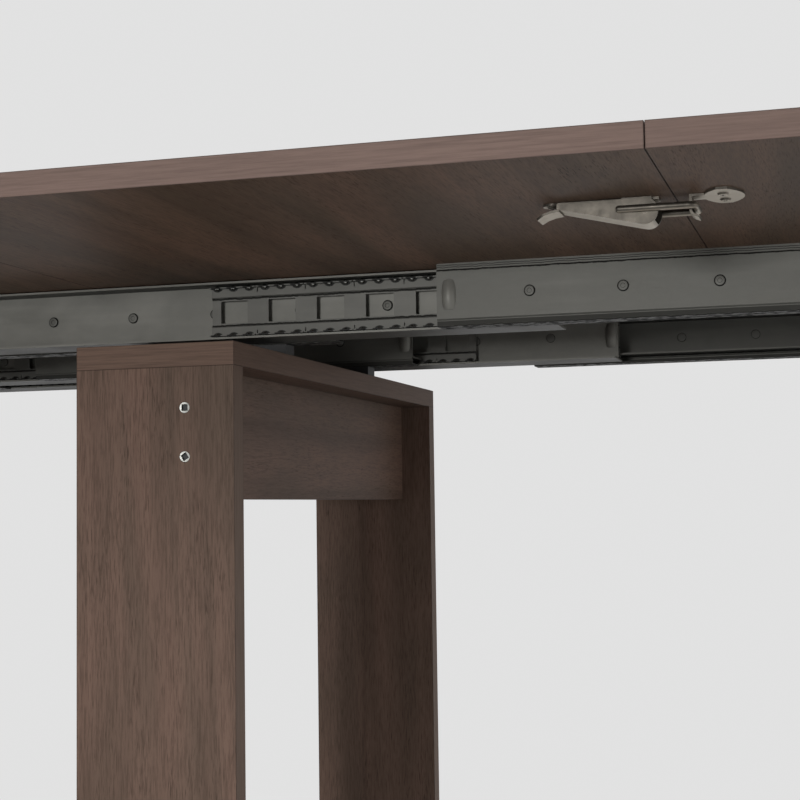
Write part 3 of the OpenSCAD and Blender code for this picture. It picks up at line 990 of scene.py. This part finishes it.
@dataclass
class Rivets:
    """The rivets of the slides, with flat heads and a small dimple in each outer one.

    Attributes:
        wall_slope: A face whose normal has less than this along the axis is a head's wall,
        which takes painted shade.
        turn: Turn from one rivet to the next, in radians.
    """

    head_r: float = 0.0043
    shank_r: float = 0.0025
    outer_h: float = 0.0015
    inner_h: float = 0.0012
    sides: int = 28
    wall_slope: float = 0.83
    turn: float = 0.7

    def rows(self) -> dict[str, float]:
        """Lists the rivets' nodes.

        Returns:
            For each node 1 if its outer heads look away from the table's middle, or -1.
        """
        rows = {"base_rivets": -1.0}
        for side in SIDES:
            rows[f"{side}_middle_rivets"] = 1.0
            rows[f"{side}_carrier_rivets"] = 1.0
        return rows

    def rivet(self, grip: float) -> Piece:
        """Makes one rivet, with its outer head above z = 0.

        Args:
            grip: Thickness of the sheets that it holds.

        Returns:
            The rivet.
        """
        r, up, down = self.head_r, self.outer_h, self.inner_h
        head = [(0.97 * r, 0.0), (r, 0.30 * up), (0.97 * r, 0.60 * up), (0.82 * r, 0.92 * up),
                (0.74 * r, up), (0.42 * r, up), (0.36 * r, 0.84 * up), (0.10 * r, 0.90 * up)]
        back = [(0.62 * r, -grip - down), (0.92 * r, -grip - 0.8 * down), (r, -grip - 0.4 * down),
                (r, -grip)]
        return turned("rivet", back + [(self.shank_r, -grip), (self.shank_r, 0.0)] + head,
                      self.sides)

    def build(self, steel: Material, painted_shade: Material) -> None:
        """Puts a rivet at each of the frame's rivets.

        Args:
            steel: The material of the heads.
            painted_shade: Painted shade on a head's wall.
        """
        for node, outward in self.rows().items():
            found = solids(node)
            master = self.rivet(found[0].size.y - self.outer_h - self.inner_h)
            # The heads' walls take the painted shade.
            paint(master, [steel, painted_shade], lambda face: abs(face.normal.z) < self.wall_slope)
            places = []
            for number, solid in enumerate(found):
                way = Vector((0.0, math.copysign(outward, outward * solid.centre.y), 0.0))
                head = solid.high.y if way.y > 0 else solid.low.y
                spot = Vector((solid.centre.x, head - way.y * self.outer_h, solid.centre.z))
                places.append(pointing(spot, way, self.turn * number))
            fit_copies(master, node, "domed", places)


@dataclass(frozen=True)
class Web:
    """The web of a channel that carries a stop.

    Attributes:
        channel: The channel.
        level: Place of the web's face along Y.
        way: 1 if that face looks along Y, and -1 if it looks against it.
    """

    channel: Solid
    level: float
    way: float


@dataclass
class Stops:
    """The stops pressed out of the channels' webs, each a barrel with a curved crown.

    Attributes:
        height: Height of a stop.
        proud: How far it stands out of the web's face.
        across_r: Radius of the barrel's round section.
        crown_r: Radius of the crown's curve from end to end.
        buried: How deep it goes into the web.
        middle_s: Sheet of a middle member's channels.
        sides: Sides of the round section.
        steps: Steps of the crown's curve.
        end_slope: A face whose normal has more than this along Z is a sheared end.
        merge: Corners closer than this are one.
        slack: Room round a stop of the CAD when its faces are picked.
        off_face: Faces closer than this to the web's face belong to the web.
    """

    height: float = 0.023
    proud: float = 0.004
    across_r: float = 0.0059
    crown_r: float = 0.026
    buried: float = 0.0008
    middle_s: float = 0.0016
    sides: int = 40
    steps: int = 18
    # end_slope: A face whose normal has more than this along Z is a sheared end, which     takes painted shade.
    end_slope: float = 0.95
    merge: float = 0.000002
    slack: float = 0.0002
    off_face: float = 0.00001

    def barrel(self) -> Piece:
        """Makes one stop, standing out along +Y from the web's face at y = 0.

        Returns:
            The stop.
        """
        bpy.ops.object.select_all(action="DESELECT")
        bpy.ops.mesh.primitive_circle_add(vertices=self.sides, radius=self.across_r,
                                          fill_type="NOTHING",
                                          location=(0.0, self.proud - self.across_r, 0.0))
        stop = bpy.context.active_object
        bpy.ops.object.transform_apply(location=True, rotation=True, scale=True)
        half = math.asin(self.height / 2 / self.crown_r)
        axle = (0.0, self.proud - self.crown_r, 0.0)
        stop.data.transform(Matrix.Translation(axle) @ Matrix.Rotation(half, 4, "X")
                            @ Matrix.Translation(-Vector(axle)))
        bpy.ops.object.mode_set(mode="EDIT")
        bpy.ops.mesh.select_all(action="SELECT")
        bpy.ops.mesh.spin(steps=self.steps, angle=2 * half, center=axle, axis=(1.0, 0.0, 0.0))
        bpy.ops.mesh.select_all(action="SELECT")
        bpy.ops.mesh.fill_holes(sides=0)
        bpy.ops.mesh.select_all(action="SELECT")
        bpy.ops.mesh.bisect(plane_co=(0.0, -self.buried, 0.0), plane_no=(0.0, 1.0, 0.0),
                            use_fill=True, clear_inner=True, clear_outer=False)
        face_outwards()
        return stop

    def webs(self, node: str) -> list[Web]:
        """Finds the webs that carry a stop.

        Args:
            node: The channels' node.

        Returns:
            The web of each channel.
        """
        found = []
        for channel in solids(node):
            away = math.copysign(1.0, channel.centre.y)
            near, far = sorted((channel.low.y, channel.high.y), key=abs)
            if "middle" in node:
                found.append(Web(channel, far - away * self.middle_s, -away))
            elif "base" in node:
                found.append(Web(channel, near + away * self.proud, -away))
            else:
                found.append(Web(channel, far - away * self.proud, away))
        return found

    def behind(self, at: Vector, webs: list[Web]) -> Web | None:
        """Finds the web behind a point of a CAD stop.

        Args:
            at: The point.
            webs: The node's webs.

        Returns:
            The web, or None for a point that isn't on a stop.
        """
        for web in webs:
            channel, out = web.channel, (at.y - web.level) * web.way
            if (channel.low.y - self.slack < at.y < channel.high.y + self.slack
                    and self.off_face < out < self.proud + self.slack
                    and abs(at.z - channel.centre.z) < self.height / 2 + self.slack):
                return web
        return None

    def flattened(self, piece: Piece, webs: list[Web]) -> list[Matrix]:
        """Takes the CAD's stops off a copy of the channels, and closes their webs.

        Args:
            piece: The copy, selected and active.
            webs: Its webs.

        Returns:
            Where each new stop goes.
        """
        bpy.ops.object.mode_set(mode="EDIT")
        bpy.ops.mesh.select_all(action="SELECT")
        bpy.ops.mesh.remove_doubles(threshold=self.merge)
        pick_faces(piece, lambda face: self.behind(face.center, webs) is not None)
        bpy.ops.object.mode_set(mode="OBJECT")
        reach: dict[float, list[float]] = {}
        for face in piece.data.polygons:
            if face.select:
                reach.setdefault(self.behind(face.center, webs).level, []).extend(
                    piece.data.vertices[corner].co.x for corner in face.vertices)
        bpy.ops.object.mode_set(mode="EDIT")
        bpy.ops.mesh.delete(type="FACE")
        bpy.ops.mesh.select_all(action="SELECT")
        bpy.ops.mesh.fill_holes(sides=0)
        bpy.ops.object.mode_set(mode="OBJECT")
        bpy.ops.object.shade_flat()
        places = []
        for web in webs:
            xs = reach[web.level]
            spot = Vector(((min(xs) + max(xs)) / 2, web.level, web.channel.centre.z))
            turn = Matrix.Rotation(0.0 if web.way > 0 else math.pi, 4, "Z")
            places.append(Matrix.Translation(spot) @ turn)
        return places

    def build(self, steel: Material, painted_shade: Material) -> None:
        """Rebuilds the channels that carry a stop, with its creased crown rounded.

        Args:
            steel: The material of the stops.
            painted_shade: Painted shade on their sheared ends.
        """
        master = self.barrel()
        # The sheared ends take the painted shade.
        paint(master, [steel, painted_shade], lambda face: abs(face.normal.z) > self.end_slope)
        names = ("base_channels", "middle_base_channels", "carrier_channels")
        for node in (f"{side}_{name}" for side in SIDES for name in names):
            piece = bpy.data.objects.new(f"{node}_pressed", frame["nodes"][node].data.copy())
            bpy.context.scene.collection.objects.link(piece)
            activate(piece)
            places = self.flattened(piece, self.webs(node))
            set_out(master, f"{node}_stops", places)
            piece.select_set(True)
            bpy.context.view_layer.objects.active = piece
            bpy.ops.object.join()
            stand_in(piece, node)
            log.info("%s: %d stops", node, len(places))
        bpy.data.objects.remove(master, do_unlink=True)


@dataclass
class Slides:
    """The ball-bearing slides: channels, rails, stops, rivets, cages and balls.

    Attributes:
        creases: Height over the middle line, and half width, of the creases of a rolled
        channel, where shade is painted.
        shadow: Depth under it, and half width, of the dark band over a channel's lip.
        cage_creases: The creases of a cage, where shade is painted too.
    """

    rolled: SteelFinish = SteelFinish("rolled_steel", (0.415, 0.413, 0.394),
                                      (0.362, 0.360, 0.343))
    steel: SteelFinish = SteelFinish("gunmetal_steel", (0.505, 0.501, 0.478),
                                     (0.437, 0.434, 0.413))
    cage: SteelFinish = SteelFinish("cage_steel", (0.428, 0.425, 0.407), (0.376, 0.374, 0.358),
                                    0.42)
    # Painted shade for the walls of the rivets' heads and the sheared ends of the stops.
    painted_shade: SteelFinish = SteelFinish("painted_rivet_shade", (0.16, 0.16, 0.15), (0.10, 0.10, 0.095), 0.6)
    ball: PlatedFinish = PlatedFinish("ball_steel", (0.62, 0.62, 0.60), 0.16, 0.06)
    creases: tuple[tuple[float, float], ...] = (
        (0.0187, 0.0008), (0.0209, 0.0003), (0.0224, 0.0003), (-0.0236, 0.0005),
    )
    shadow: tuple[float, float] = (0.0216, 0.0020)
    cage_creases: tuple[tuple[float, float], ...] = ((0.0107, 0.0009), (-0.0107, 0.0009))

    def cages(self) -> None:
        """Gives each pair of cages its steel, with painted shade in the hollows where its balls
        sit.
        """
        for pair in (f"{side}_{part}" for side in SIDES for part in ("inner", "outer")):
            balls = solids(f"{pair}_balls")
            middle = (min(b.low.z for b in balls) + max(b.high.z for b in balls)) / 2
            places = sorted({round(b.centre.x, ROW_DIGITS) for b in balls})
            hollows = (places[0], places[1] - places[0], abs(balls[0].centre.z - middle))
            finish = replace(self.cage, name=f"{pair}_steel", middle=middle, hollows=hollows,
                             creases=self.cage_creases)
            dress([f"{pair}_cages"], finish.material())

    def dress(self) -> None:
        """Gives the slides their steel, and builds their stops and rivets."""
        low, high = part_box("right_carrier_channels")
        rolled = replace(self.rolled, middle=(low[2] + high[2]) / 2, creases=self.creases,
                         shadow=self.shadow)
        dress([f"{s}_{p}_channels" for s in SIDES for p in ("base", "carrier")],
              rolled.material())
        steel = self.steel.material()
        rail = replace(self.rolled, name="rail_steel").material()
        dress([f"{s}_{p}_rails" for s in SIDES for p in ("base", "carrier")], rail)
        dress([f"{s}_middle_{p}_channels" for s in SIDES for p in ("base", "carrier")], steel)
        self.cages()
        dress([f"{s}_{p}_balls" for s in SIDES for p in ("inner", "outer")], self.ball.material())
        painted_shade = self.painted_shade.material()
        Stops().build(steel, painted_shade)
        Rivets().build(rail, painted_shade)
        log.info("slides: dressed")


@dataclass
class Latches:
    """The toggle latches that clamp each leaf to its end panel."""

    # Painted shade on the latches' walls that look along Y, and painted light on their undersides.
    nickel: PlatedFinish = PlatedFinish("nickel_latch", (0.47, 0.445, 0.405), rough=0.40,
                                        mottle=0.09, metal=0.75, sides=0.25, painted_underside_light=1.55)

    def dress(self) -> Material:
        """Gives the latches their plating.

        Returns:
            The plating, for the screws.
        """
        names = [f"{side}_{part}" for side in SIDES for part in ("latch_bases", "strikes")]
        names += [f"{s}_{e}_{p}" for s in SIDES for e in ENDS for p in ("lever", "loop")]
        nickel = self.nickel.material()
        dress(names, nickel)
        log.info("latches: %d nodes dressed", len(names))
        return nickel


@dataclass
class Fasteners:
    """Screws with cross recesses, bolts, packing strips and floor glides.

    Attributes:
        turn: Turn from one wood screw to the next, in radians.
        pan_turn: Turn from one pan screw to the next, in radians.
    """

    zinc: PlatedFinish = PlatedFinish("zinc_screws", (0.66, 0.66, 0.64), 0.42, 0.04)
    # Painted shade: the screws' cross recesses are painted dark.
    recess_shade: PlasticFinish = PlasticFinish("painted_recess_shade", (0.10, 0.115, 0.115))
    plastic: PlasticFinish = PlasticFinish("black_pads")
    head_r: float = 0.0042
    shank_r: float = 0.0025
    pan_r: float = 0.0035
    pan_h: float = 0.0027
    pan_shank_r: float = 0.00175
    sides: int = 32
    turn: float = 0.55
    pan_turn: float = 0.8

    def recessed(self, master: Piece, materials: list[Material], top: float,
                 cross: Cross) -> Piece:
        """Cuts a cross recess into a screw's head.

        Args:
            master: The screw.
            materials: The plating, and the painted shade of the recess.
            top: Height of the head's top.
            cross: Size of the recess.

        Returns:
            The screw, with its plating and its dark recess.
        """
        cutter = cross_cutter(cross)
        cutter.data.transform(Matrix.Translation((0.0, 0.0, top)))
        cut_away(master, cutter)
        skin = 0.00002

        def sunk(face: Face) -> bool:
            """Whether a face lies in the recess, under the skin of the head's top."""
            at = face.center
            return (top - 1.1 * cross.depth < at.z < top - skin
                    and math.hypot(at.x, at.y) < 1.02 * cross.half)

        # The recess takes the painted shade.
        paint(master, materials, sunk)
        return master

    def wood_screw(self, length: float, materials: list[Material]) -> Piece:
        """Makes a countersunk screw with its head's top at z = 0.

        Args:
            length: Its length.
            materials: Its plating, and the painted shade of its recess.

        Returns:
            The screw.
        """
        r, s = self.head_r, self.shank_r
        tip, cone, rim, chamfer, dish, top = 0.006, 0.0030, 0.0005, 0.0002, 0.00012, -0.0001
        profile = [(0.1 * s, -length), (s, -length + tip), (s, -cone), (r, -rim),
                   (r, -chamfer), (0.95 * r, 0.0), (0.62 * r, -dish)]
        return self.recessed(turned("wood_screw", profile, self.sides), materials, top,
                             Cross(half=0.66 * r, width=0.50 * r, depth=0.0018))

    def pan_screw(self, length: float, materials: list[Material]) -> Piece:
        """Makes a small pan-head screw with its head's top at z = 0.

        Args:
            length: Its length.
            materials: Its plating, and the painted shade of its recess.

        Returns:
            The screw.
        """
        r, s, h = self.pan_r, self.pan_shank_r, self.pan_h
        tip, rim, dome = 0.003, 0.0003, 0.0001
        profile = [(0.1 * s, -length), (s, -length + tip), (s, -h), (r, -h), (r, -h + rim),
                   (0.93 * r, -0.45 * h + rim), (0.76 * r, -dome), (0.5 * r, 0.0)]
        return self.recessed(turned("pan_screw", profile, self.sides), materials, 0.0,
                             Cross(half=0.55 * r, width=0.26 * r, depth=0.0008))

    def frame_screws(self, zinc: Material, recess_shade: Material) -> None:
        """Puts the countersunk screws into the leg frames.

        Args:
            zinc: Plating of the screws.
            recess_shade: Painted shade in their recesses.
        """
        found = solids("frame_screws")
        places = []
        for number, solid in enumerate(found):
            if solid.size.y > solid.size.z:
                way = Vector((0.0, math.copysign(1.0, solid.centre.y), 0.0))
            else:
                way = Vector((0.0, 0.0, 1.0))
            spot = solid.centre + max(solid.size) / 2 * way
            places.append(pointing(spot, way, self.turn * number))
        fit_copies(self.wood_screw(max(found[0].size), [zinc, recess_shade]), "frame_screws",
                   "crosshead", places)

    def latch_screws(self, nickel: Material, recess_shade: Material) -> None:
        """Puts the small screws into the latches.

        Args:
            nickel: Plating of the screws.
            recess_shade: Painted shade in their recesses.
        """
        down = Vector((0.0, 0.0, -1.0))
        for node in (f"{side}_latch_screws" for side in SIDES):
            found = solids(node)
            places = [pointing(Vector((solid.centre.x, solid.centre.y, solid.low.z)), down,
                               self.pan_turn * number) for number, solid in enumerate(found)]
            fit_copies(self.pan_screw(found[0].size.z, [nickel, recess_shade]), node, "crosshead",
                       places)

    def dress(self, nickel: Material) -> None:
        """Gives the small parts their finish, and the screws their recesses.

        Args:
            nickel: Plating of the latches and their screws.
        """
        names = ["channel_bolts", "centre_panel_screws"]
        names += [f"{side}_panel_screws" for side in SIDES]
        zinc, recess_shade = self.zinc.material(), self.recess_shade.material()
        dress(names, zinc)
        dress(["floor_glides", "channel_pads"], self.plastic.material())
        self.frame_screws(zinc, recess_shade)
        self.latch_screws(nickel, recess_shade)
        log.info("fasteners: %d nodes dressed", len(names) + 2)


@dataclass(frozen=True)
class Lamp:
    """A soft, square area lamp, the side of its square in metres and its power in watts."""

    name: str
    place: Point
    aim: Point
    size: float
    watts: float

    def hang(self) -> None:
        """Hangs the lamp in the scene."""
        data = bpy.data.lights.new(self.name, "AREA")
        data.size, data.energy = self.size, self.watts
        lamp = bpy.data.objects.new(self.name, data)
        bpy.context.scene.collection.objects.link(lamp)
        lamp.location = self.place
        lamp.rotation_mode = "QUATERNION"
        lamp.rotation_quaternion = (Vector(self.aim) - Vector(self.place)).to_track_quat("-Z", "Y")


@dataclass
class Studio:
    """Pale floor and backdrop, soft lamps and the photograph's camera.

    Attributes:
        eye: Where the camera stands.
        yaw: Its turn from the Y axis to the left, in degrees.
        pitch: Its tilt upwards.
        roll: Its turn about the line of sight.
        pale: Linear grey of the background.
        shade: Display grey of the floor, as the camera sees it.
        bounce: Display grey of the floor, for the light that it throws back.
        ambient: Strength of the surround's light.
        spread: How much longer the patch of floor that keeps the shadow is than wide.
        fade_start: Distance where that patch starts to fade into the background.
        fade_end: Distance where it has faded.
    """

    eye: Point = (0.854, -1.381, 0.552)
    lens: float = 71.27
    sensor: float = 36.0
    yaw: float = 16.32
    pitch: float = 3.867
    roll: float = -0.792
    clip: float = 0.01
    pale: float = 0.757
    shade: float = 0.86
    bounce: float = 0.60
    sky: tuple[float, float, float, float] = (0.95, 0.97, 1.0, 1.0)
    ambient: float = 0.05
    reach: float = 30.0
    under: float = 0.001
    spread: float = 1.5
    fade_start: float = 0.95
    fade_end: float = 1.5
    lamps: tuple[Lamp, ...] = (
        Lamp("key_lamp", (0.14, -4.2, 0.60), (0.3, 0.0, 0.6), 0.55, 60.0),
        Lamp("side_key_lamp", (-1.8, -3.6, 1.9), (0.2, 0.0, 0.5), 1.2, 10.0),
        Lamp("high_lamp", (0.6, -3.6, 3.4), (0.3, 0.0, 0.5), 2.0, 34.0),
        Lamp("fill_lamp", (4.0, -1.5, 1.2), (0.3, 0.0, 0.5), 2.0, 48.0),
        Lamp("top_lamp", (0.0, 0.5, 3.6), (0.0, 0.0, 0.6), 3.0, 150.0),
        Lamp("back_lamp", (-1.2, 4.2, 1.8), (0.0, 0.0, 0.5), 1.6, 45.0),
    )

    def camera(self) -> None:
        """Puts the camera where the photograph was taken from."""
        yaw, pitch, roll = (math.radians(a) for a in (self.yaw, self.pitch, self.roll))
        ahead = Vector((-math.sin(yaw), math.cos(yaw), 0.0))
        side = Vector((math.cos(yaw), math.sin(yaw), 0.0))
        up = Vector((0.0, 0.0, 1.0))
        look = math.cos(pitch) * ahead + math.sin(pitch) * up
        top = -math.sin(pitch) * ahead + math.cos(pitch) * up
        right = math.cos(roll) * side + math.sin(roll) * top
        top = -math.sin(roll) * side + math.cos(roll) * top
        data = bpy.data.cameras.new("photo_camera")
        data.lens, data.sensor_width = self.lens, self.sensor
        data.clip_start, data.clip_end = self.clip, 4 * self.reach
        camera = bpy.data.objects.new("photo_camera", data)
        bpy.context.scene.collection.objects.link(camera)
        turn = Matrix((right, top, -look)).transposed().to_4x4()
        camera.matrix_world = Matrix.Translation(self.eye) @ turn
        bpy.context.scene.camera = camera

    def floor_material(self) -> Material:
        """A floor that keeps the table's shadow, and shows as plain pale grey beyond it.

        The camera, metal and glass see it pale. For the light that it throws back up it is
        darker, as a studio floor is.

        Returns:
            The material.
        """
        s = Shader("studio_floor")
        seen = s.pale_rays()
        s.feed(s.bsdf, {"Base Color": s.blend(seen, (self.bounce,) * 3, (self.shade,) * 3),
                        "Roughness": 1.0, "Specular IOR Level": 0.0})
        plain = s.feed(s.node("ShaderNodeEmission"), {"Color": (*(self.pale,) * 3, 1.0)})
        far = s.node("ShaderNodeVectorMath", operation="LENGTH")
        s.join(s.mapped((1.0 / self.spread, 1.0, 1.0)), far.inputs[0])
        fade = s.span(far.outputs["Value"], self.fade_start, self.fade_end)
        mix = s.feed(s.node("ShaderNodeMixShader"), {
            0: s.maths("MULTIPLY", fade, seen), 1: s.bsdf.outputs[0], 2: plain.outputs[0]})
        s.join(mix.outputs[0], s.out.inputs["Surface"])
        return s.material

    def stage(self) -> None:
        """Builds the floor."""
        bpy.ops.object.select_all(action="DESELECT")
        bpy.ops.mesh.primitive_plane_add(size=2 * self.reach, location=(0.0, 0.0, 0.0))
        floor = bpy.context.active_object
        floor.name = "studio_floor"
        floor.data.transform(Matrix.Translation((0.0, 0.0, -self.under)))
        floor.data.materials.append(self.floor_material())

    def world(self) -> None:
        """A soft, even surround that shows as the pale background."""
        world = bpy.data.worlds.new("studio_world")
        bpy.context.scene.world = world
        world.use_nodes = True
        n = Nodes(world.node_tree)
        seen = n.feed(n.node("ShaderNodeBackground"), {"Color": (*(self.pale,) * 3, 1.0)})
        soft = n.feed(n.node("ShaderNodeBackground"), {"Color": self.sky,
                                                       "Strength": self.ambient})
        mix = n.feed(n.node("ShaderNodeMixShader"), {
            0: n.pale_rays(), 1: soft.outputs[0], 2: seen.outputs[0]})
        n.join(mix.outputs[0], n.node("ShaderNodeOutputWorld").inputs["Surface"])

    def build(self) -> None:
        """Sets up the camera, the floor, the surround and the lamps."""
        self.camera()
        self.stage()
        self.world()
        for lamp in self.lamps:
            lamp.hang()
        bpy.context.scene.view_settings.view_transform = "Standard"
        log.info("studio ready, with %d lamps", len(self.lamps))


def main() -> None:
    """Dresses the table, part by part, and sets up the studio."""
    logging.basicConfig(level=logging.INFO)
    Boards().dress()
    Slides().dress()
    Fasteners().dress(Latches().dress())
    Studio().build()


if __name__ == "__main__":
    main()
